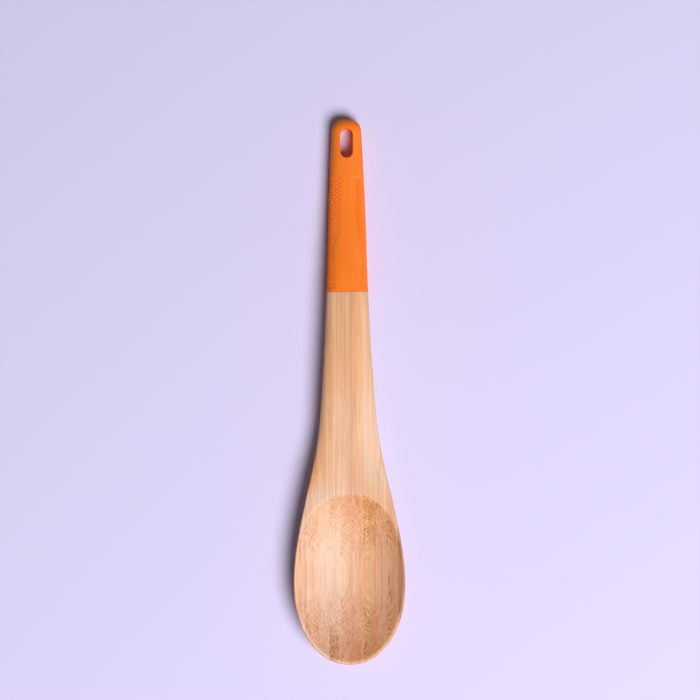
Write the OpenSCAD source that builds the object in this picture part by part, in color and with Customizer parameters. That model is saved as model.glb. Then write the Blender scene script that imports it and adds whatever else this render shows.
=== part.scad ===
// Bamboo cooking spoon with a moulded grip.
// The wooden body is a board of laths glued side by side and carved. Each lath is a piece of its own.
// The grip is moulded round a tang at the end of the wood, and has a slot to hang the spoon by.
// X runs across the spoon, +Y runs from the bowl to the grip, and +Z points up. The table is at z = 0.

/* [Overall] */
// Length from the tip of the bowl to the end of the grip
total_l = 305; // [290:1:320]

/* [Bowl] */
// Width of the bowl at its widest place
bowl_w = 62.2; // [58:0.1:70]
// Distance from the tip to the widest place
tip_l = 45; // [42:1:49]
// Height of the rim above the table
rim_h = 15; // [14:0.5:17]
// Thickness of the wood at the rim's outer edge
rim_t = 2.5; // [1.5:0.1:4]
// Width of the rim beside the hollow
rim_side = 1.1; // [1:0.05:4]
// Width of the rim at the tip
rim_tip = 1.6; // [1.5:0.1:4]
// Length of the hollow
hollow_l = 93.7; // [86:0.1:96]
// Depth of the hollow below the rim
hollow_d = 10; // [7:0.5:11]

/* [Neck] */
// Distance from the tip to the narrow end of the neck's flare
neck_at = 136; // [128:1:150]
// Width of the wood there
neck_w = 31.8; // [28:0.1:35]
// Distance from the grip's mouth back to the top of the handle's arch
arch_back = 40; // [28:1:48]
// Height of the upper face at the top of the arch
arch_h = 17.6; // [17:0.1:19.5]
// Thickness of the wood at the top of the arch
arch_t = 11.4; // [9:0.1:13]

/* [Grip] */
// Length of the grip
grip_l = 97; // [90:1:105]
// Width of the handle at the grip's mouth
mouth_w = 23.2; // [21:0.1:25]
// Thickness of the handle at the grip's mouth
mouth_t = 12.6; // [11.5:0.1:14]
// Height of the handle's underside at the grip's mouth
mouth_lift = 4.2; // [3:0.1:5.5]
// Width of the grip halfway along
waist_w = 20.5; // [19:0.1:22.5]
// Length of the flat back that the grip rests on
rest_l = 46; // [40:1:56]
// Thickness of the grip where the flat back begins
rest_t = 12.8; // [12:0.1:14]
// Width that the grip tapers to at its end, before the corners are rounded
end_w = 16; // [14:0.1:18]
// Thickness of the grip at its end
end_t = 11.4; // [10.5:0.1:12.5]
// Radius of the end's corners
end_r = 6.6; // [5:0.1:7]
// Rounding of the end, seen from the side
end_drop = 4.2; // [3:0.1:5]

/* [Hang slot] */
// Length of the slot
slot_l = 16.2; // [12:0.1:18]
// Width of the slot
slot_w = 6.8; // [5:0.1:8]
// Material between the slot and the end of the grip
slot_wall = 5.4; // [4.5:0.1:7]

/* [Tang] */
// Thickness of the tang inside the grip
tang_t = 7; // [6:0.1:8]
// Width of the tang at the shoulder
tang_w = 18; // [16:0.1:18.8]
// Width of the tang at its end
tang_end_w = 13; // [11:0.1:14]
// Plastic between the tang and the slot
tang_wall = 5.4; // [4:0.1:8]
// Diameter of the two holes that the plastic fills
key_d = 6; // [4:0.1:7]
// Distance from the shoulder to the first hole, and between the holes
key_step = 22; // [18:1:26]

/* [Laths] */
// Width of one lath
lath_w = 6.4; // [5.5:0.1:8]
// Distance of the middle glue line from the spoon's axis
lath_shift = 1.5; // [-3:0.1:3]

/* [Hidden] */
// Places along the spoon, measured from the tip
mouth_at = total_l - grip_l;
arch_at = mouth_at - arch_back;
waist_at = total_l - grip_l / 2;
rest_at = total_l - rest_l;
slot_at = total_l - slot_wall - slot_l / 2;
tang_at = total_l - slot_wall - slot_l - tang_wall;
hollow_at = rim_tip + hollow_l / 2;
flare_at = rim_tip + hollow_l;

// How square the outlines and sections are: 2 is an ellipse, and more is squarer
tip_round = 2.1;
hollow_tip_round = 2.12;
hollow_neck_round = 2.3;
neck_round = 2.6;
grip_round = 2.5;

// Height of the upright band along the sides of the neck and the grip
side_band = 0.5;
// How far the grip's back is cut away to make it flat
rest_cut = 0.35;
// The outermost laths end this share of the way out, on a short flat
outer_share = 0.999;
// How far cuts run past what they cut
overrun = 1;

// Steps across and along each lath, round the hollow and along the grip
lath_columns = 4;
lath_rows = 54;
hollow_columns = 22;
hollow_rings = 9;
grip_columns = 18;
grip_rows = 34;
end_rows = 8;
halvings = 24;
$fn = 64;

// Laths on either side of the middle glue line, counted outwards. The outermost are about as wide as the rest.
function lath_count(side) = round((bowl_w / 2 - side * lath_shift) / lath_w);
function lath_name(side, n) = str("bamboo_lath_", side < 0 ? "left_" : "right_", n);
lath_tones = ["#e6c195", "#dcb081", "#e9c9a2"];

// Lines along the spoon, each a list of [distance from the tip, value]
width_line = [
    [tip_l, bowl_w / 2],
    [neck_at, neck_w / 2],
    [mouth_at, mouth_w / 2],
    [waist_at, waist_w / 2],
    [total_l, end_w / 2]
];
top_line = [
    [flare_at, rim_h],
    [arch_at, arch_h],
    [mouth_at, mouth_lift + mouth_t],
    [rest_at, rest_t - rest_cut],
    [total_l, end_t - rest_cut]
];
keel_line = [
    [tip_l, 0],
    [arch_at, arch_h - arch_t],
    [mouth_at, mouth_lift],
    [rest_at, -rest_cut],
    [total_l, -rest_cut]
];
round_line = [
    [neck_at, neck_round],
    [mouth_at, grip_round],
    [total_l, grip_round]
];

function mix(a, b, share) = a + (b - a) * share;
function clamp_share(share) = max(0, min(1, share));
function soft_step(share) = share * share * (3 - 2 * share);

// Smooth curve through a line's points, level at its first point and at each high or low point
function slope(line, i) = (line[i + 1][1] - line[i][1]) / (line[i + 1][0] - line[i][0]);
function tangent(line, i) =
    i == 0 ? 0 :
    i == len(line) - 1 ? slope(line, i - 1) :
    slope(line, i - 1) * slope(line, i) <= 0 ? 0 :
    2 / (1 / slope(line, i - 1) + 1 / slope(line, i));
function stretch(line, at, i = 0) =
    i >= len(line) - 2 || at < line[i + 1][0] ? i : stretch(line, at, i + 1);
function curve(line, at) =
    let (
        i = stretch(line, at),
        run = line[i + 1][0] - line[i][0],
        share = clamp_share((at - line[i][0]) / run),
        left = 1 - share
    )
    mix(line[i][1], line[i + 1][1], soft_step(share))
        + run * share * left * (left * tangent(line, i) - share * tangent(line, i + 1));

// Share of the change from the bowl's section to the neck's, and how far the end has rounded off
function neck_share(at) = soft_step(clamp_share((at - flare_at) / (neck_at - flare_at)));
function end_share(at) = 1 - sqrt(1 - pow(clamp_share((at - total_l + end_r) / end_r), 2));

// Half the spoon's width at a distance from the tip
function half_w(at) =
    at < tip_l
        ? bowl_w / 2 * pow(1 - pow(1 - at / tip_l, tip_round), 1 / tip_round)
        : curve(width_line, at) - end_r * end_share(at);

// Heights on the spoon's axis: the upper face, without the hollow, and the underside
function crown_z(at) = curve(top_line, at) - end_drop * end_share(at);
function keel_z(at) =
    at < tip_l
        ? (rim_h - rim_t) * pow(1 - at / tip_l, tip_round)
        : curve(keel_line, at) + end_drop * end_share(at);

// Heights of the side edges: the bowl's rim is a sharp edge, and the neck and grip are round
function side_top_z(at) =
    mix(rim_h, (crown_z(at) + keel_z(at) + side_band) / 2, neck_share(at));
function side_low_z(at) =
    mix(rim_h - rim_t, (crown_z(at) + keel_z(at) - side_band) / 2, neck_share(at));

// Share of the way from the axis height to the side edge's height, across a section
function bend(across, at) =
    let (
        square = curve(round_line, at),
        neck = 1 - pow(1 - pow(across, square), 1 / square),
        bowl = pow(across, tip_round)
    )
    mix(bowl, neck, neck_share(at));
function across_share(x, at) = min(1, abs(x) / half_w(at));
function top_z(x, at) = mix(crown_z(at), side_top_z(at), bend(across_share(x, at), at));
function low_z(x, at) = mix(keel_z(at), side_low_z(at), bend(across_share(x, at), at));

// Where a line along the spoon at x meets the outline at the tip, and at the neck or the shoulder
function start_at(x) =
    tip_l * (1 - pow(1 - pow(abs(x) * 2 / bowl_w, tip_round), 1 / tip_round));
function outline_at(x, low, high, turns) =
    turns == 0 ? low :
    half_w((low + high) / 2) > x
        ? outline_at(x, (low + high) / 2, high, turns - 1)
        : outline_at(x, low, (low + high) / 2, turns - 1);
function finish_at(x) =
    abs(x) <= mouth_w / 2 ? mouth_at : outline_at(abs(x), tip_l, mouth_at, halvings);

// Closed skin over a list of loops. Each loop runs out along one side and back along the other.
module loft(loops) {
    count = len(loops[0]);
    last = (len(loops) - 1) * count;
    sides = [
        for (a = [0:count:last - 1], k = [0:count - 1])
            let (p = a + k, q = a + (k + 1) % count)
                each [[p, p + count, q + count], [p, q + count, q]]
    ];
    caps = [
        for (k = [0:count / 2 - 2])
            let (p = k, q = k + 1, r = count - 2 - k, s = count - 1 - k)
                each [
                    [p, q, r], [p, r, s],
                    [last + r, last + q, last + p], [last + s, last + r, last + p]
                ]
    ];
    polyhedron(points = [for (loop = loops) each loop], faces = concat(sides, caps));
}

// Outer edge of a lath, and so the inner edge of the next. The first begins at the middle glue line.
function lath_edge(side, n) =
    n == lath_count(side) ? side * bowl_w / 2 * outer_share : lath_shift + side * n * lath_w;

// Lines along a lath: even steps across it from left to right, with one at each corner of the shoulder
function lath_lines(x0, x1) =
    let (stops = [x0, for (x = [-mouth_w / 2, mouth_w / 2]) if (x0 < x && x < x1) x, x1])
    [
        for (i = [0:len(stops) - 2], k = [0:lath_columns - 1])
            mix(stops[i], stops[i + 1], k / lath_columns),
        x1
    ];

// Carved lath without the hollow, from the outline at the tip to the neck or the shoulder
module lath_blank(x0, x1) {
    lines = [for (x = lath_lines(x0, x1)) [x, start_at(x), finish_at(x)]];
    backward = [len(lines) - 1:-1:0];
    loft([
        for (row = [0:lath_rows])
            let (
                share = (1 - cos(180 * row / lath_rows)) / 2,
                places = [for (line = lines) [line[0], mix(line[1], line[2], share)]]
            )
            [
                for (p = places) [p[0], p[1] - total_l / 2, top_z(p[0], p[1])],
                for (k = backward) let (p = places[k]) [p[0], p[1] - total_l / 2, low_z(p[0], p[1])]
            ]
    ]);
}

// Hollow of the bowl, deepest in the middle
module hollow() {
    loft([
        for (ring = [hollow_rings:-1:1])
            let (
                reach = (hollow_l / 2 + overrun) / (hollow_l / 2) * ring / hollow_rings,
                z = rim_h - hollow_d * (1 - reach * reach)
            )
            [
                for (side = [1, -1], k = [0:hollow_columns])
                    let (
                        turn = 180 * (k + 1 / 2) / (hollow_columns + 1),
                        square = side > 0 ? hollow_neck_round : hollow_tip_round,
                        out = -side * reach * sign(cos(turn)) * pow(abs(cos(turn)), 2 / square),
                        along = side * reach * pow(sin(turn), 2 / square)
                    )
                    [
                        (bowl_w / 2 - rim_side) * out,
                        hollow_at - total_l / 2 + hollow_l / 2 * along,
                        z
                    ]
            ]
    ]);
}

// Tang of the whole board, straight on every side, with two holes through it
module tang() {
    mouth_z = mouth_lift + mouth_t / 2;
    end_z = (crown_z(tang_at) + keel_z(tang_at)) / 2;
    difference() {
        intersection() {
            translate([0, -total_l / 2, 0])
                rotate([90, 0, 90])
                    linear_extrude(height = bowl_w, center = true)
                        polygon([
                            [mouth_at - overrun, mouth_z - tang_t / 2],
                            [mouth_at, mouth_z - tang_t / 2],
                            [tang_at, end_z - tang_t / 2],
                            [tang_at, end_z + tang_t / 2],
                            [mouth_at, mouth_z + tang_t / 2],
                            [mouth_at - overrun, mouth_z + tang_t / 2]
                        ]);
            translate([0, -total_l / 2, 0])
                linear_extrude(height = arch_h)
                    polygon([
                        [-tang_w / 2, mouth_at - overrun],
                        [tang_w / 2, mouth_at - overrun],
                        [tang_end_w / 2, tang_at],
                        [-tang_end_w / 2, tang_at]
                    ]);
        }
        for (step = [1, 2])
            translate([0, mouth_at + step * key_step - total_l / 2, -overrun])
                cylinder(d = key_d, h = arch_h + 2 * overrun);
    }
}

// One lath of the body, with its share of the hollow and of the tang
module lath(side, n) {
    x0 = min(lath_edge(side, n - 1), lath_edge(side, n));
    x1 = max(lath_edge(side, n - 1), lath_edge(side, n));
    color(lath_tones[n % len(lath_tones)])
        difference() {
            union() {
                lath_blank(x0, x1);
                if (x0 < tang_w / 2 && x1 > -tang_w / 2)
                    intersection() {
                        tang();
                        translate([x0, -total_l / 2, 0])
                            cube([x1 - x0, total_l, arch_h]);
                    }
            }
            hollow();
        }
}

// Outside of the grip, in line with the wood at its mouth and round at its end
module grip_shape() {
    body_l = grip_l - end_r;
    places = [
        for (row = [0:grip_rows]) mouth_at + body_l * row / grip_rows,
        for (row = [1:end_rows]) mouth_at + body_l + end_r * sin(90 * row / end_rows)
    ];
    loft([
        for (at = places)
            [
                for (side = [1, -1], k = [0:grip_columns])
                    let (x = -side * half_w(at) * cos(180 * k / grip_columns))
                        [x, at - total_l / 2, side > 0 ? top_z(x, at) : low_z(x, at)]
            ]
    ]);
}

// Upright hole with round ends, to hang the spoon by
module hang_slot() {
    translate([0, slot_at - total_l / 2, -overrun])
        linear_extrude(height = arch_h + 2 * overrun) {
            square([slot_w, slot_l - slot_w], center = true);
            for (side = [1, -1])
                translate([0, side * (slot_l - slot_w) / 2])
                    circle(d = slot_w);
        }
}

// Grip moulded round the tang, flat on its back where it rests
module grip() {
    color("#fe7a2a")
        difference() {
            grip_shape();
            tang();
            hang_slot();
            translate([-bowl_w / 2, -total_l / 2, -arch_h])
                cube([bowl_w, total_l + overrun, arch_h]);
        }
}

for (side = [-1, 1], n = [1:lath_count(side)])
    lath(side, n);
grip();
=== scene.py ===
import bmesh
import bpy
import math
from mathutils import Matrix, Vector


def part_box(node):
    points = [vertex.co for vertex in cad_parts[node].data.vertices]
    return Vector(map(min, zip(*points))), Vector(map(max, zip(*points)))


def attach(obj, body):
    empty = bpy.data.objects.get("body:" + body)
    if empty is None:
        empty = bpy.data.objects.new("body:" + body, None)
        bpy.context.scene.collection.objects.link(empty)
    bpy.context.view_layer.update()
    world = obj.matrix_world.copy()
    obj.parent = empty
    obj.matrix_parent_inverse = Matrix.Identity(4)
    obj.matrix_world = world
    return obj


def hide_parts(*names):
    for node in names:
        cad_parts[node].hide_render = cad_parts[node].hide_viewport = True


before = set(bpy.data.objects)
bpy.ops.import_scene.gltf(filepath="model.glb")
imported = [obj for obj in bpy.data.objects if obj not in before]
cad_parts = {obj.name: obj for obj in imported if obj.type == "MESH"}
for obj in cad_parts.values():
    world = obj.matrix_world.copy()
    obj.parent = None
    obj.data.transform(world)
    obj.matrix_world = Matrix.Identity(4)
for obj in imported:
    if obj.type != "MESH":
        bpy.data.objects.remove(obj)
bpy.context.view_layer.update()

# Carved board: bamboo strips split from the wall of the cane, planed square and glued side by side on edge.
# The spoon is sawn from this board, the bowl is hollowed, the neck is shaped round, and all of it is sanded.
# Sizes are in millimetres, and places along the spoon are measured from the tip of the bowl.
SPOON_L = 305
BOWL_W, TIP_L, RIM_H, RIM_T = 62.2, 45, 15, 2.5
HOLLOW_W, HOLLOW_L, HOLLOW_D, HOLLOW_AT = 60, 93.7, 10, 48.45
FLARE_AT, NECK_AT, ARCH_AT, MOUTH_AT, WAIST_AT, REST_AT = 95.3, 136, 168, 208, 256.5, 259
TIP_ROUND, HOLLOW_TIP_ROUND, HOLLOW_NECK_ROUND = 2.1, 2.12, 2.3
END_R, END_DROP, SIDE_BAND = 6.6, 4.2, 0.5
RIM_EASE, FOOT_EASE, HOLLOW_EASE = 0.7, 0.5, 0.3

# Along the spoon: half widths, heights of the top and the underside on the axis, how square the section is
WIDTHS = [(TIP_L, BOWL_W / 2), (NECK_AT, 15.9), (MOUTH_AT, 11.6), (WAIST_AT, 10.25), (SPOON_L, 8)]
CROWNS = [(FLARE_AT, RIM_H), (ARCH_AT, 17.6), (MOUTH_AT, 16.8), (REST_AT, 12.45), (SPOON_L, 11.05)]
KEELS = [(TIP_L, 0), (ARCH_AT, 6.2), (MOUTH_AT, 4.2), (REST_AT, -0.35), (SPOON_L, -0.35)]
SQUARES = [(NECK_AT, 2.6), (MOUTH_AT, 2.5), (SPOON_L, 2.5)]


def mix(a, b, share):
    return a + (b - a) * share


def clamp(share):
    return min(max(share, 0.0), 1.0)


def soft_step(share):
    share = clamp(share)
    return share * share * (3 - 2 * share)


def slope(line, i):
    return (line[i + 1][1] - line[i][1]) / (line[i + 1][0] - line[i][0])


def tangent(line, i):
    if i == 0:
        return 0
    if i == len(line) - 1:
        return slope(line, i - 1)
    before, after = slope(line, i - 1), slope(line, i)
    return 0 if before * after <= 0 else 2 / (1 / before + 1 / after)


def along(line, at):
    """Value of a smooth line through its points, level at its first point and at each high or low one."""
    i = max([0] + [k for k in range(len(line) - 1) if line[k][0] <= at])
    run = line[i + 1][0] - line[i][0]
    share = clamp((at - line[i][0]) / run)
    left = 1 - share
    lean = run * share * left * (left * tangent(line, i) - share * tangent(line, i + 1))
    return mix(line[i][1], line[i + 1][1], soft_step(share)) + lean


def neck_share(at):
    return soft_step((at - FLARE_AT) / (NECK_AT - FLARE_AT))


def end_share(at):
    return 1 - math.sqrt(1 - clamp((at - SPOON_L + END_R) / END_R) ** 2)


def half_width(at):
    if at < TIP_L:
        return BOWL_W / 2 * (1 - (1 - at / TIP_L) ** TIP_ROUND) ** (1 / TIP_ROUND)
    return along(WIDTHS, at) - END_R * end_share(at)


def crown(at):
    return along(CROWNS, at) - END_DROP * end_share(at)


def keel(at):
    if at < TIP_L:
        return (RIM_H - RIM_T) * (1 - at / TIP_L) ** TIP_ROUND
    return along(KEELS, at) + END_DROP * end_share(at)


def face_height(across, at, face):
    """Height of the upper face (1) or the underside (-1), at a share of the way from the axis to the side."""
    neck = neck_share(at)
    square = along(SQUARES, at)
    bend = mix(across ** TIP_ROUND, 1 - (1 - across ** square) ** (1 / square), neck)
    middle = (crown(at) + keel(at) + face * SIDE_BAND) / 2
    if face > 0:
        return mix(crown(at), mix(RIM_H, middle, neck), bend)
    return mix(keel(at), mix(RIM_H - RIM_T, middle, neck), bend)


def eased(gap, radius):
    """How far a rounded edge falls away at this distance from the edge."""
    near = clamp(1 - gap / radius) if radius > 0 else 0
    return radius * (1 - math.sqrt(1 - near * near)) if near > 0 else 0


def edge_gap(x, at):
    """Distance from the outline of the bowl, measured inwards."""
    if at >= TIP_L:
        return max(half_width(at) - abs(x), 0)
    a, b = abs(x) / (BOWL_W / 2), 1 - at / TIP_L
    reach = max((a ** TIP_ROUND + b ** TIP_ROUND) ** (1 / TIP_ROUND), 1e-6)
    steep = math.hypot(
        (a / reach) ** (TIP_ROUND - 1) / (BOWL_W / 2), (b / reach) ** (TIP_ROUND - 1) / TIP_L
    )
    return max((1 - reach) / steep, 0)


def board_height(x, at, face):
    half = half_width(at)
    height = face_height(min(abs(x) / half, 1) if half > 0 else 1, at, face)
    bowl = 1 - neck_share(at)
    if face < 0:
        return height + eased(edge_gap(x, at), FOOT_EASE * bowl)
    square = HOLLOW_NECK_ROUND if at > HOLLOW_AT else HOLLOW_TIP_ROUND
    a, b = abs(x) / (HOLLOW_W / 2), abs(at - HOLLOW_AT) / (HOLLOW_L / 2)
    reach = (a ** square + b ** square) ** (1 / square)
    depth = HOLLOW_D * (1 - reach * reach)
    depth = (depth + math.hypot(depth, HOLLOW_EASE)) / 2
    return height - eased(edge_gap(x, at), RIM_EASE * bowl) - depth


# Rays run from the middle of the hollow to its edge and on to the outline, or to the neck's first row.
TIP_RAYS, SIDE_RAYS, NECK_RAYS = 40, 36, 20
HOLLOW_RINGS, RIM_RINGS, NECK_ROWS = 30, 10, 76
CORNER_TURN, SHOULDER_AT, SHOULDER_BULGE = math.radians(67.5), 98, 8


def hollow_edge(turn):
    square = HOLLOW_NECK_ROUND if turn > 0 else HOLLOW_TIP_ROUND
    rise = math.copysign(abs(math.sin(turn)) ** (2 / square), turn)
    return Vector((HOLLOW_W / 2 * abs(math.cos(turn)) ** (2 / square), HOLLOW_AT + HOLLOW_L / 2 * rise))


def neck_start(across):
    return SHOULDER_AT + SHOULDER_BULGE * (1 - across * across)


def ray(k):
    """The hollow's edge and the outline on ray k, from the tip (0) past the side to the neck's middle."""
    if k <= TIP_RAYS:
        turn = math.pi / 2 * (k / TIP_RAYS - 1)
        out, back = math.cos(turn) ** (2 / TIP_ROUND), math.sin(-turn) ** (2 / TIP_ROUND)
        return hollow_edge(turn), Vector((BOWL_W / 2 * out, TIP_L * (1 - back)))
    corner = hollow_edge(CORNER_TURN)
    if k <= TIP_RAYS + SIDE_RAYS:
        edge = hollow_edge(CORNER_TURN * (k - TIP_RAYS) / SIDE_RAYS)
        at = mix(TIP_L, SHOULDER_AT, (edge.y - HOLLOW_AT) / (corner.y - HOLLOW_AT))
        return edge, Vector((half_width(at), at))
    across = math.cos(math.pi / 2 * (k - TIP_RAYS - SIDE_RAYS) / NECK_RAYS)
    out = (corner.x * across) / (HOLLOW_W / 2)
    rise = (1 - out ** HOLLOW_NECK_ROUND) ** (1 / HOLLOW_NECK_ROUND)
    at = neck_start(across)
    return Vector((corner.x * across, HOLLOW_AT + HOLLOW_L / 2 * rise)), Vector((across * half_width(at), at))


def bowl_place(column, ring):
    rays = TIP_RAYS + SIDE_RAYS + NECK_RAYS
    edge, rim = ray(min(column, 2 * rays - column))
    if ring <= HOLLOW_RINGS:
        centre = Vector((0, HOLLOW_AT))
        place = centre.lerp(edge, math.sin(math.pi / 2 * ring / HOLLOW_RINGS))
    else:
        place = edge.lerp(rim, (1 - math.cos(math.pi * (ring - HOLLOW_RINGS) / RIM_RINGS)) / 2)
    return (place.x if column <= rays else -place.x, place.y, 1)


def neck_place(column, row):
    across = -math.cos(math.pi * column / (2 * NECK_RAYS))
    at = mix(neck_start(across), MOUTH_AT, row / NECK_ROWS)
    return (across * half_width(at), at, 1)


def lay_grid(mesh, columns, rows, place):
    """Adds a grid whose corners are put where place(column, row) says."""
    for corner in bmesh.ops.create_grid(mesh, x_segments=columns, y_segments=rows, size=0.5)["verts"]:
        corner.co = place(round((corner.co.x + 0.5) * columns), round((corner.co.y + 0.5) * rows))


def thicken(mesh, skin):
    """Turns a plan sheet into a closed solid: skin(x, at, face) gives each corner's place on either face."""
    # Grids meet in corners that lie on each other, and these become one
    bmesh.ops.remove_doubles(mesh, verts=mesh.verts, dist=1e-4)
    under = bmesh.ops.extrude_face_region(mesh, geom=mesh.faces[:], use_keep_orig=True)["geom"]
    for corner in under:
        if isinstance(corner, bmesh.types.BMVert):
            corner.co.z = -1
    for corner in mesh.verts:
        corner.co = skin(corner.co.x, corner.co.y, corner.co.z)
    bmesh.ops.recalc_face_normals(mesh, faces=mesh.faces)


def to_frame(mesh):
    """From millimetres measured from the tip to metres in the shared frame."""
    bmesh.ops.translate(mesh, verts=mesh.verts, vec=(0, -SPOON_L / 2, 0))
    bmesh.ops.scale(mesh, verts=mesh.verts, vec=(0.001, 0.001, 0.001))


def finished(mesh, name, crease):
    """The piece: smooth faces, sharp where they meet at more than the crease angle."""
    for face in mesh.faces:
        face.smooth = True
    for edge in mesh.edges:
        edge.smooth = len(edge.link_faces) == 2 and edge.calc_face_angle(0) < math.radians(crease)
    data = bpy.data.meshes.new(name)
    mesh.to_mesh(data)
    mesh.free()
    piece = bpy.data.objects.new(name, data)
    bpy.context.scene.collection.objects.link(piece)
    return piece


board = bmesh.new()
lay_grid(board, 2 * (TIP_RAYS + SIDE_RAYS + NECK_RAYS), HOLLOW_RINGS + RIM_RINGS, bowl_place)
lay_grid(board, 2 * NECK_RAYS, NECK_ROWS, neck_place)
thicken(board, lambda x, at, face: (x, at, board_height(x, at, face)))
to_frame(board)

# Tang: the board's straight tongue inside the grip, of the same bamboo, tapered in plan and sawn with it.
# Two holes go through it, and the plastic that fills them locks the grip on.
TANG_W, TANG_END_W, TANG_T, TANG_END_AT = 18, 13, 7, 278
TANG_MOUTH_H, KEY_R, KEYS_AT = 10.5, 3, (230, 252)


def tang_skin(x, at, face):
    end = (crown(TANG_END_AT) + keel(TANG_END_AT)) / 2
    middle = mix(TANG_MOUTH_H, end, (at - MOUTH_AT) / (TANG_END_AT - MOUTH_AT))
    return (x, at, middle + face * TANG_T / 2)


tang = bmesh.new()
corners = [(-TANG_W / 2, MOUTH_AT), (TANG_W / 2, MOUTH_AT),
           (TANG_END_W / 2, TANG_END_AT), (-TANG_END_W / 2, TANG_END_AT)]
tongue = bmesh.ops.contextual_create(tang, geom=[tang.verts.new((x, at, 1)) for x, at in corners])["faces"]
bmesh.ops.delete(tang, geom=tongue, context="FACES_ONLY")
for at in KEYS_AT:
    ring = bmesh.ops.create_circle(tang, segments=32, radius=KEY_R)["verts"]
    bmesh.ops.translate(tang, verts=ring, vec=(0, at, 1))
bmesh.ops.triangle_fill(tang, use_beauty=True, edges=tang.edges[:])
thicken(tang, tang_skin)
to_frame(tang)


def linear(code):
    """Linear colour from an sRGB hex code."""
    parts = [int(code[i:i + 2], 16) / 255 for i in (1, 3, 5)]
    return (*[c / 12.92 if c <= 0.04045 else ((c + 0.055) / 1.055) ** 2.4 for c in parts], 1)


def add(tree, kind, inputs=None, **settings):
    """Adds a shader node with its settings, values and links."""
    node = tree.nodes.new("ShaderNode" + kind)
    for name, value in settings.items():
        setattr(node, name, value)
    for socket, value in (inputs or {}).items():
        if isinstance(value, bpy.types.NodeSocket):
            tree.links.new(value, node.inputs[socket])
        else:
            node.inputs[socket].default_value = value
    return node


def new_material(name):
    material = bpy.data.materials.new(name)
    material.use_nodes = True
    return material, material.node_tree, material.node_tree.nodes["Principled BSDF"]


# Bamboo on edge, sanded smooth and lightly oiled. Its hard fibre bundles run the whole length of the strip:
# fine brown lines where the surface follows them, rows of flecks where the bowl is cut across them.
# Cut ends drink more oil, so the steep parts of the hollow are a deeper orange, most of all at its neck end.
BUNDLE_GAP_X, BUNDLE_GAP_Z, BUNDLE_R = 0.72, 0.58, 0.3
STRIP_W, GLUE_W = 6.4, 0.2
BUNDLE_WANDER, GRAIN_WANDER = (1.4, 0.0, 1.4), (0.6, 0.0, 0.6)
BOWL_TONE_TO, NECK_TONE_FROM, GOLD_FROM, GOLD_FULL_AT = 90, 108, 138, 164
# A board mixes canes, so its flesh runs from cream to tan, and its bundles from ochre to umber
TONES = {
    "cream": "#fdd6ba", "straw": "#fbd0ad", "bone": "#f0cdb5", "honey": "#fac397", "sand": "#efc4a7",
    "gold": "#f7be90", "wheat": "#e8b48f", "amber": "#f1ae7b", "tan": "#da9e75",
    "ochre": "#b86221", "russet": "#ac582a", "rust": "#b04b20", "umber": "#92431d",
}
# These multiply the tones where the oil soaks in, at the hollow's neck end, and towards the grip
SOAKED, SOAKED_NECK_END, NEAR_GRIP = "#edc797", "#fffcec", "#fff8e7"
# Lines of the grain: how strongly they show, how far apart and how long they are, and a shift of the pattern
GRAINS = ((0.45, 0.3, 60, 2.7), (0.7, 0.9, 160, 6.1), (0.6, 3.0, 240, 4.1))


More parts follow.
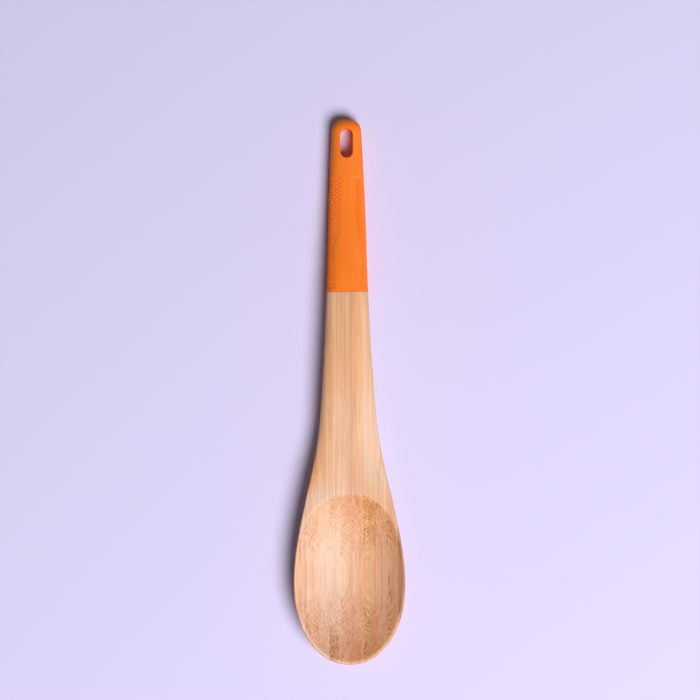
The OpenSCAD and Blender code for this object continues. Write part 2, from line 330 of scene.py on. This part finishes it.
def sanded_bamboo(name, seed, low, stain, bowl_flesh, neck_flesh_and_painted_light, bundle, lean, fold_at, strength):
    """The bamboo of one strip, whose left face lies at low. The seed gives it patterns of its own."""
    material, tree, shader = new_material(name)
    place = add(tree, "TexCoord").outputs
    mm = add(tree, "VectorMath", {0: place["Object"], "Scale": 1000.0}, operation="SCALE").outputs["Vector"]
    x, y, _ = add(tree, "SeparateXYZ", {"Vector": mm}).outputs
    at = add(tree, "Math", {0: y, 1: SPOON_L / 2}, operation="ADD").outputs["Value"]
    # How far the surface is cut across the fibres
    facing = add(tree, "SeparateXYZ", {"Vector": place["Normal"]}).outputs["Y"]
    across = add(tree, "Math", {0: facing}, operation="ABSOLUTE").outputs["Value"]
    # Fibres wander a few tenths of a millimetre over some 30 mm
    slow = add(tree, "Mapping", {
        "Vector": mm, "Location": (seed * 7.3, seed * 31.0, seed * 3.1), "Scale": (0.05, 0.03, 0.05),
    }).outputs["Vector"]
    drift = add(tree, "TexNoise", {"Vector": slow, "Scale": 1.0, "Detail": 2.0}).outputs["Color"]
    drift = add(tree, "VectorMath", {0: drift, 1: (0.5, 0.5, 0.5)}, operation="SUBTRACT").outputs["Vector"]
    bent = add(tree, "VectorMath", {0: drift, 1: BUNDLE_WANDER, 2: mm}, operation="MULTIPLY_ADD")
    bent_x, _, bent_z = add(tree, "SeparateXYZ", {"Vector": bent.outputs["Vector"]}).outputs
    # The strip's cut end: across and up, with rows of bundles that lean away from a line on both sides
    fold = add(tree, "Math", {0: bent_x, 1: fold_at}, operation="SUBTRACT").outputs["Value"]
    fold = add(tree, "Math", {0: fold}, operation="ABSOLUTE").outputs["Value"]
    climb = math.tan(math.radians(lean))
    row = add(tree, "Math", {0: fold, 1: climb, 2: bent_z}, operation="MULTIPLY_ADD").outputs["Value"]
    end_on = add(tree, "CombineXYZ", {"X": bent_x, "Y": row}).outputs["Vector"]
    end_on = add(tree, "Mapping", {
        "Vector": end_on, "Location": (seed * 11.7, seed * 5.9, 0),
        "Scale": (1 / BUNDLE_GAP_X, 1 / BUNDLE_GAP_Z, 1),
    }).outputs["Vector"]
    cells = add(tree, "TexVoronoi", {
        "Vector": end_on, "Scale": 1.0, "Randomness": 0.5,
    }, voronoi_dimensions="2D").outputs
    spot = add(tree, "MapRange", {
        "Value": cells["Distance"], "From Min": BUNDLE_R * 1.6, "From Max": BUNDLE_R * 0.6,
    }, interpolation_type="SMOOTHSTEP").outputs["Result"]
    shade = add(tree, "SeparateColor", {"Color": cells["Color"]}).outputs["Red"]
    shade = add(tree, "MapRange", {"Value": shade, "To Min": 0.35, "To Max": 1.0}).outputs["Result"]
    spot = add(tree, "Math", {0: spot, 1: shade}, operation="MULTIPLY").outputs["Value"]
    # The side that lay under the cane's skin, here the left one, has the darker bundles
    inward = add(tree, "MapRange", {"Value": x, "From Min": low, "From Max": low + STRIP_W}).outputs["Result"]
    packed = add(tree, "MapRange", {"Value": inward, "To Min": 1.15, "To Max": 0.45}).outputs["Result"]
    spot = add(tree, "Math", {0: spot, 1: packed}, operation="MULTIPLY").outputs["Value"]
    # The flesh changes tone from the skin side to the pith side, and up from the bowl into the neck. In the
    # neck the tones are partly the wood's own and partly painted light: a warmer orange on the left strips for
    # painted warm bounce light, paler on the right strips for a painted sheen.
    up_neck = add(tree, "MapRange", {
        "Value": at, "From Min": BOWL_TONE_TO, "From Max": NECK_TONE_FROM,
    }, interpolation_type="SMOOTHSTEP").outputs["Result"]
    sides = []
    for bowl, neck in zip(bowl_flesh, neck_flesh_and_painted_light):
        tones = {"Factor": up_neck, "A": linear(TONES[bowl]), "B": linear(TONES[neck])}
        sides.append(add(tree, "Mix", tones, data_type="RGBA").outputs[2])
    flesh = add(tree, "Mix", {"Factor": inward, "A": sides[0], "B": sides[1]}, data_type="RGBA").outputs[2]
    # Bundles that the surface follows show as faint lines, and those it cuts across as dark flecks. Both are
    # fainter on the neck, whose faces are sanded longest.
    depth = add(tree, "MapRange", {
        "Value": across, "From Min": 0.04, "From Max": 0.17, "To Min": strength * 0.25, "To Max": strength,
    }).outputs["Result"]
    calm = add(tree, "MapRange", {"Value": up_neck, "To Min": 1.0, "To Max": 0.35}).outputs["Result"]
    depth = add(tree, "Math", {0: depth, 1: calm}, operation="MULTIPLY").outputs["Value"]
    # Straight grain: lines some 0.9 mm apart, finer ones between them, and slow changes of tone
    straight = add(tree, "VectorMath", {0: drift, 1: GRAIN_WANDER, 2: mm}, operation="MULTIPLY_ADD")
    grain = 0.0
    for share, gap, run, shift in GRAINS:
        lines = add(tree, "Mapping", {
            "Vector": straight.outputs["Vector"], "Location": (seed * shift, seed * 9.0, 0),
            "Scale": (1 / gap, 1 / run, 1 / gap),
        }).outputs["Vector"]
        lines = add(tree, "TexNoise", {"Vector": lines, "Scale": 1.0, "Detail": 1.5}).outputs["Fac"]
        grain = add(tree, "Math", {0: lines, 1: share, 2: grain}, operation="MULTIPLY_ADD").outputs["Value"]
    grain = add(tree, "MapRange", {
        "Value": grain, "From Min": 0.68, "From Max": 1.12, "To Min": 0.0, "To Max": 0.4,
    }).outputs["Result"]
    mark = add(tree, "Math", {0: spot, 1: depth, 2: grain}, operation="MULTIPLY_ADD").outputs["Value"]
    # A stain beside the glue line, where the wood drank more oil
    if stain:
        stain_at, reach, out, width, dark = stain
        near = add(tree, "Math", {0: at, 1: stain_at}, operation="SUBTRACT").outputs["Value"]
        near = add(tree, "Math", {0: near}, operation="ABSOLUTE").outputs["Value"]
        near = add(tree, "MapRange", {
            "Value": near, "From Min": reach, "From Max": reach * 0.4, "To Max": dark,
        }, interpolation_type="SMOOTHSTEP").outputs["Result"]
        beside = add(tree, "Math", {0: bent_x, 1: low + out}, operation="SUBTRACT").outputs["Value"]
        beside = add(tree, "Math", {0: beside}, operation="ABSOLUTE").outputs["Value"]
        beside = add(tree, "MapRange", {
            "Value": beside, "From Min": width, "From Max": width * 0.3,
        }, interpolation_type="SMOOTHSTEP").outputs["Result"]
        near = add(tree, "Math", {0: near, 1: beside}, operation="MULTIPLY").outputs["Value"]
        soak = add(tree, "Math", {0: spot, 1: 0.35}, operation="ADD").outputs["Value"]
        mark = add(tree, "Math", {0: near, 1: soak, 2: mark}, operation="MULTIPLY_ADD").outputs["Value"]
    # Glue line, drawn a fifth of a millimetre wide so that it shows
    glue = add(tree, "MapRange", {
        "Value": x, "From Min": low + GLUE_W, "From Max": low, "To Max": 0.5,
    }).outputs["Result"]
    mark = add(tree, "Math", {0: mark, 1: glue}, operation="MAXIMUM", use_clamp=True).outputs["Value"]
    colour = add(tree, "Mix", {
        "Factor": mark, "A": flesh, "B": linear(TONES[bundle]),
    }, data_type="RGBA").outputs[2]
    # Oil soaks into what is cut across, and the colour is multiplied to a deeper gold towards the grip
    soaked = add(tree, "MapRange", {"Value": across, "From Min": 0.08, "From Max": 0.6}).outputs["Result"]
    neck_end = add(tree, "MapRange", {
        "Value": facing, "From Min": -0.05, "From Max": -0.35,
    }).outputs["Result"]
    golden = add(tree, "MapRange", {
        "Value": at, "From Min": GOLD_FROM, "From Max": GOLD_FULL_AT,
    }, interpolation_type="SMOOTHSTEP").outputs["Result"]
    for share, tint in ((soaked, SOAKED), (neck_end, SOAKED_NECK_END), (golden, NEAR_GRIP)):
        colour = add(tree, "Mix", {
            "Factor": share, "A": colour, "B": linear(tint),
        }, data_type="RGBA", blend_type="MULTIPLY").outputs[2]
    tree.links.new(colour, shader.inputs["Base Color"])
    # Bundles are hard, so they sand a little smoother than the flesh and stand proud of it
    rough = add(tree, "MapRange", {"Value": mark, "To Min": 0.52, "To Max": 0.42}).outputs["Result"]
    tree.links.new(rough, shader.inputs["Roughness"])
    bump = add(tree, "Bump", {"Height": mark, "Strength": 0.12, "Distance": 0.00004}).outputs["Normal"]
    tree.links.new(bump, shader.inputs["Normal"])
    shader.inputs["IOR"].default_value = 1.5
    shader.inputs["Specular IOR Level"].default_value = 0.5
    return material


# One strip to a line: the tones of its flesh on the skin side and the pith side, in the bowl and then in the
# neck, the tone of its bundles, the lean of their rows in degrees, the place across the spoon that the rows
# lean away from, and how strongly the bundles show. The neck's tones are partly the wood's own tone and partly
# painted light:
# warmer on the left strips for painted warm bounce light, paler on the right strips for a painted sheen.
STRIPS = {
    "left_5": (("honey", "sand"), ("honey", "sand"), "umber", -16, -31.0, 0.85),
    "left_4": (("straw", "sand"), ("amber", "amber"), "rust", 14, -21.5, 0.7),
    "left_3": (("bone", "bone"), ("gold", "honey"), "ochre", -18, -17.7, 0.58),
    "left_2": (("bone", "cream"), ("honey", "straw"), "russet", 20, -6.8, 0.76),
    "left_1": (("cream", "wheat"), ("straw", "wheat"), "rust", 12, -4.9, 0.52),
    "right_1": (("sand", "honey"), ("wheat", "honey"), "rust", -18, 6.0, 0.56),
    "right_2": (("honey", "gold"), ("sand", "straw"), "umber", 19, 11.2, 0.68),
    "right_3": (("gold", "sand"), ("straw", "cream"), "russet", -15, 20.7, 0.62),
    "right_4": (("gold", "wheat"), ("cream", "cream"), "russet", 20, 24.0, 0.75),
    "right_5": (("tan", "tan"), ("wheat", "wheat"), "umber", -17, 27.1, 0.8),
}
# Two strips are stained: where along the spoon, how far it reaches, how far from the strip's left face its
# middle lies, its half width, and how dark it is.
STAINS = {"left_2": (8, 13, 0.6, 6.4, 0.45), "right_4": (43.5, 12, 2.4, 1.9, 0.5)}
# Every glue line lies nearer to the axis than this, and both edges of the bowl lie beyond it.
GLUE_WITHIN = 0.0305
for seed, (strip_place, looks) in enumerate(STRIPS.items()):
    node = "bamboo_lath_" + strip_place
    low, high = (corner[0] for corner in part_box(node))
    strip = board.copy()
    if min(abs(low), abs(high)) < TANG_W / 2 / 1000:
        part = bpy.data.meshes.new("tongue")
        tang.to_mesh(part)
        strip.from_mesh(part)
        bpy.data.meshes.remove(part)
    for face_x, normal in ((low, -1), (high, 1)):
        if abs(face_x) < GLUE_WITHIN:
            cut = bmesh.ops.bisect_plane(
                strip, geom=strip.verts[:] + strip.edges[:] + strip.faces[:], dist=1e-7,
                plane_co=(face_x, 0, 0), plane_no=(normal, 0, 0), clear_outer=True)["geom_cut"]
            edges = [part for part in cut if isinstance(part, bmesh.types.BMEdge)]
            bmesh.ops.holes_fill(strip, edges=edges, sides=0)
    bmesh.ops.recalc_face_normals(strip, faces=strip.faces)
    lath = finished(strip, "bamboo_strip_" + strip_place, crease=35)
    bamboo = sanded_bamboo("sanded_bamboo_" + strip_place, seed, low * 1000, STAINS.get(strip_place), *looks)
    lath.data.materials.append(bamboo)
    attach(lath, "root")
    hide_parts(node)
board.free()
tang.free()

# Grip: soft-touch thermoplastic rubber, moulded straight over the tang, which locks it on.
# A diamond texture covers its sides and runs round to the back, either side of smooth bands for the thumb
# and for the flat it rests on, and a slot goes through its end.
DIAMOND_L, DIAMOND_H, DIAMOND_CUT, DIAMOND_RISE = 2.31, 0.12, 0.46, 3.2
# Half widths of the smooth bands, and the places between which the wide one at the mouth becomes the others
THUMB_BAND, REST_BAND, MOUTH_BAND, MOUTH_BAND_TO, NARROW_FROM = 2.8, 4.6, 6.2, 231, 246
TEXTURE_START, TEXTURE_END, TEXTURE_FADE = 209.6, 272.6, 1.5
SLOT_AT, SLOT_STRAIGHT, SLOT_R, SLOT_EASE, LIP_R = 291.5, 4.7, 3.4, 0.55, 0.5
# The handle's grid: its columns on each side of the axis, its steps along a diamond or across it, the share
# next to the axis that has no diamonds, and its rows from the mouth to the grid round the slot.
COLUMNS, DIAMOND_STEPS, PLAIN_SHARE, JOIN_ROWS = 26, 4, 0.15, 119
JOIN_AT = MOUTH_AT + JOIN_ROWS * DIAMOND_L / DIAMOND_STEPS
GIRTH_STEPS, SLOPE_STEP = 48, 0.004
section_cache = {}


def girth(at, face):
    """The section's half outline, from the axis to the side: shares across, and lengths along the skin."""
    key = (round(at, 4), face)
    if key not in section_cache:
        half = half_width(at)
        shares = [math.sin(math.pi / 2 * i / GIRTH_STEPS) for i in range(GIRTH_STEPS + 1)]
        points = [(half * u, face_height(u, at, face)) for u in shares]
        lengths = [0.0]
        for a, b in zip(points, points[1:]):
            lengths.append(lengths[-1] + math.dist(a, b))
        section_cache[key] = (shares, lengths)
    return section_cache[key]


def share_across(wrap, at, face):
    """From a share of the way round the skin to a share of the half width."""
    shares, lengths = girth(at, face)
    goal = abs(wrap) * lengths[-1]
    i = max(k for k in range(len(lengths) - 1) if lengths[k] <= goal or k == 0)
    step = lengths[i + 1] - lengths[i]
    return mix(shares[i], shares[i + 1], clamp((goal - lengths[i]) / step) if step > 0 else 0)


def share_round(x, at):
    """The other way: the share of the way round the upper skin at this x."""
    shares, lengths = girth(at, 1)
    goal = abs(x) / half_width(at)
    i = max(k for k in range(len(shares) - 1) if shares[k] <= goal or k == 0)
    share = clamp((goal - shares[i]) / (shares[i + 1] - shares[i]))
    return mix(lengths[i], lengths[i + 1], share) / lengths[-1]


def saw(value):
    return 1 - abs(2 * (value % 1) - 1)


def diamond(wrap, at, face):
    """Height of the diamond texture above the moulded skin. It grows from nothing beside the smooth bands."""
    arc = abs(wrap) * girth(at, face)[1][-1]
    wide = soft_step((NARROW_FROM - at) / (NARROW_FROM - MOUTH_BAND_TO))
    band = mix(THUMB_BAND if face > 0 else REST_BAND, MOUTH_BAND, wide)
    ends = soft_step(min(at - TEXTURE_START, TEXTURE_END - at) / TEXTURE_FADE)
    strength = soft_step((arc - band) / DIAMOND_RISE) * ends
    down, across = (at - MOUTH_AT) / DIAMOND_L, abs(wrap) * COLUMNS / DIAMOND_STEPS
    return strength * mix(-DIAMOND_CUT, DIAMOND_H, min(saw(across + down), saw(across - down)))


def grip_skin(wrap, at, face):
    half = half_width(at)
    across = share_across(wrap, at, face)
    x, z = half * across, face_height(across, at, face)
    # Raise the texture squarely to the skin, and round the lip at the mouth
    low, high = max(across - SLOPE_STEP, 0), min(across + SLOPE_STEP, 1)
    run, rise = half * (high - low), face_height(high, at, face) - face_height(low, at, face)
    out = diamond(wrap, at, face) - eased(at - MOUTH_AT, LIP_R)
    if across < 1:
        x -= face * out * rise / math.hypot(run, rise)
        z += face * out * run / math.hypot(run, rise)
    else:
        x += out
    slot_gap = math.hypot(x, max(abs(at - SLOT_AT) - SLOT_STRAIGHT, 0)) - SLOT_R
    z -= face * eased(max(slot_gap, 0), SLOT_EASE)
    return (math.copysign(x, wrap) if wrap else 0, at, max(z, 0))


# Rays run from the slot's edge to the grip's end, to its side and to the handle's last row. Their rings lie
# closest at the slot, whose edge is rounded.
END_RAYS, FLAT_END_RAYS, SLOT_SIDE_RAYS = 22, 5, 22
SLOT_RINGS = (0, 0.006, 0.02, 0.042, 0.075, 0.13, 0.2, 0.29, 0.39, 0.5, 0.61, 0.72, 0.82, 0.91, 0.97, 1)


def slot_ray(k):
    """Ray k: its start at the slot, as x and a place along, and its end, as a share round and a place along."""
    if k <= END_RAYS:
        turn = math.pi / 2 * (1 - k / END_RAYS)
        edge = (SLOT_R * math.cos(turn), SLOT_AT + SLOT_STRAIGHT + SLOT_R * math.sin(turn))
        if k < FLAT_END_RAYS:
            rim = (k / FLAT_END_RAYS, SPOON_L)
        else:
            turn = math.pi / 2 * (k - FLAT_END_RAYS) / (END_RAYS - FLAT_END_RAYS)
            rim = (1, SPOON_L - END_R + END_R * math.cos(turn))
    elif k <= END_RAYS + SLOT_SIDE_RAYS:
        share = (k - END_RAYS) / SLOT_SIDE_RAYS
        edge = (SLOT_R, SLOT_AT + SLOT_STRAIGHT * (1 - 2 * share))
        rim = (1, mix(SPOON_L - END_R, JOIN_AT, share))
    else:
        share = (k - END_RAYS - SLOT_SIDE_RAYS) / COLUMNS
        turn = math.pi / 2 * share
        edge = (SLOT_R * math.cos(turn), SLOT_AT - SLOT_STRAIGHT - SLOT_R * math.sin(turn))
        rim = (1 - share, JOIN_AT)
    return edge, rim


def slot_place(column, ring):
    rays = END_RAYS + SLOT_SIDE_RAYS + COLUMNS
    edge, rim = slot_ray(min(column, 2 * rays - column))
    share = SLOT_RINGS[ring]
    at = mix(edge[1], rim[1], share)
    wrap = mix(share_round(edge[0], edge[1]), rim[0], share)
    return (wrap if column <= rays else -wrap, at, 1)


def handle_place(column, row):
    at = MOUTH_AT + row * DIAMOND_L / DIAMOND_STEPS
    return ((column - COLUMNS) / COLUMNS, at, 1)


grip_mesh = bmesh.new()
lay_grid(grip_mesh, 2 * COLUMNS, JOIN_ROWS, handle_place)
# Each square is split along the groove that crosses it, so that every diamond is a clean pyramid
grooves = []
for corner in grip_mesh.verts:
    step = round(corner.co.x * COLUMNS + (corner.co.y - MOUTH_AT) * DIAMOND_STEPS / DIAMOND_L)
    if abs(corner.co.x) > PLAIN_SHARE and step % 2 == 0:
        grooves.append(corner)
bmesh.ops.connect_verts(grip_mesh, verts=grooves)
lay_grid(grip_mesh, 2 * (END_RAYS + SLOT_SIDE_RAYS + COLUMNS), len(SLOT_RINGS) - 1, slot_place)
thicken(grip_mesh, grip_skin)
to_frame(grip_mesh)
grip = finished(grip_mesh, "moulded_grip", crease=28)


# Thermoplastic rubber, injection moulded against a spark-eroded tool: an even, dull orange with a fine grain.
def moulded_rubber(name, deep, bright):
    material, tree, shader = new_material(name)
    place = add(tree, "TexCoord").outputs["Object"]
    mm = add(tree, "VectorMath", {0: place, "Scale": 1000.0}, operation="SCALE").outputs["Vector"]
    grit = add(tree, "TexNoise", {"Vector": mm, "Scale": 4.0, "Detail": 3.0}).outputs["Fac"]
    cloud = add(tree, "TexNoise", {"Vector": mm, "Scale": 0.12, "Detail": 2.0}).outputs["Fac"]
    tone = add(tree, "Mix", {"Factor": cloud, "A": linear(deep), "B": linear(bright)}, data_type="RGBA")
    tree.links.new(tone.outputs[2], shader.inputs["Base Color"])
    rough = add(tree, "MapRange", {"Value": grit, "To Min": 0.5, "To Max": 0.68}).outputs["Result"]
    tree.links.new(rough, shader.inputs["Roughness"])
    bump = add(tree, "Bump", {"Height": grit, "Strength": 0.3, "Distance": 0.00003}).outputs["Normal"]
    tree.links.new(bump, shader.inputs["Normal"])
    shader.inputs["IOR"].default_value = 1.5
    shader.inputs["Specular IOR Level"].default_value = 0.25
    return material


grip.data.materials.append(moulded_rubber("moulded_orange_rubber", "#ff7a1c", "#ff8424"))
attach(grip, "root")
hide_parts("grip")

# Studio: a pale lilac floor, one soft lamp above the spoon, from the right and the lower edge of the picture,
# and a faint even surround. The camera looks straight down through a long lens.
floor_mesh = bmesh.new()
bmesh.ops.create_grid(floor_mesh, x_segments=1, y_segments=1, size=3)
floor = finished(floor_mesh, "floor", crease=30)
material, tree, shader = new_material("painted_lilac_board")
shader.inputs["Base Color"].default_value = linear("#dcd4f6")
shader.inputs["Roughness"].default_value = 0.9
shader.inputs["Specular IOR Level"].default_value = 0.1
floor.data.materials.append(material)

world = bpy.data.worlds.new("soft_surround")
world.use_nodes = True
world.node_tree.nodes["Background"].inputs["Color"].default_value = (1, 1, 1, 1)
world.node_tree.nodes["Background"].inputs["Strength"].default_value = 0.1
bpy.context.scene.world = world

lamp = bpy.data.lights.new("soft_lamp", "AREA")
lamp.shape = "DISK"
lamp.size = 1.7
lamp.energy = 91
lamp_place = Vector((0.96, -1.26, 2.24))
lamp_object = bpy.data.objects.new("soft_lamp", lamp)
lamp_object.location = lamp_place
lamp_object.rotation_euler = (-lamp_place).to_track_quat("-Z", "Y").to_euler()
bpy.context.scene.collection.objects.link(lamp_object)

# A pixel is this many millimetres wide at the scale height, and the spoon lies a little askew in the picture
PICTURE, MM_A_PIXEL, SENSOR, SCALE_H, EYE_H, ASKEW = 700, 0.55919, 36, 0.011, 1.6, -0.4
lens = bpy.data.cameras.new("long_lens")
lens.sensor_width = SENSOR
lens.lens = SENSOR * (EYE_H - SCALE_H) / (PICTURE * MM_A_PIXEL / 1000)
lens.clip_end = 10
camera = bpy.data.objects.new("camera", lens)
camera.location = (0.0012, 0.0231, EYE_H)
camera.rotation_euler = (0, 0, math.radians(ASKEW))
bpy.context.scene.collection.objects.link(camera)
bpy.context.scene.camera = camera
bpy.context.scene.view_settings.view_transform = "Standard"
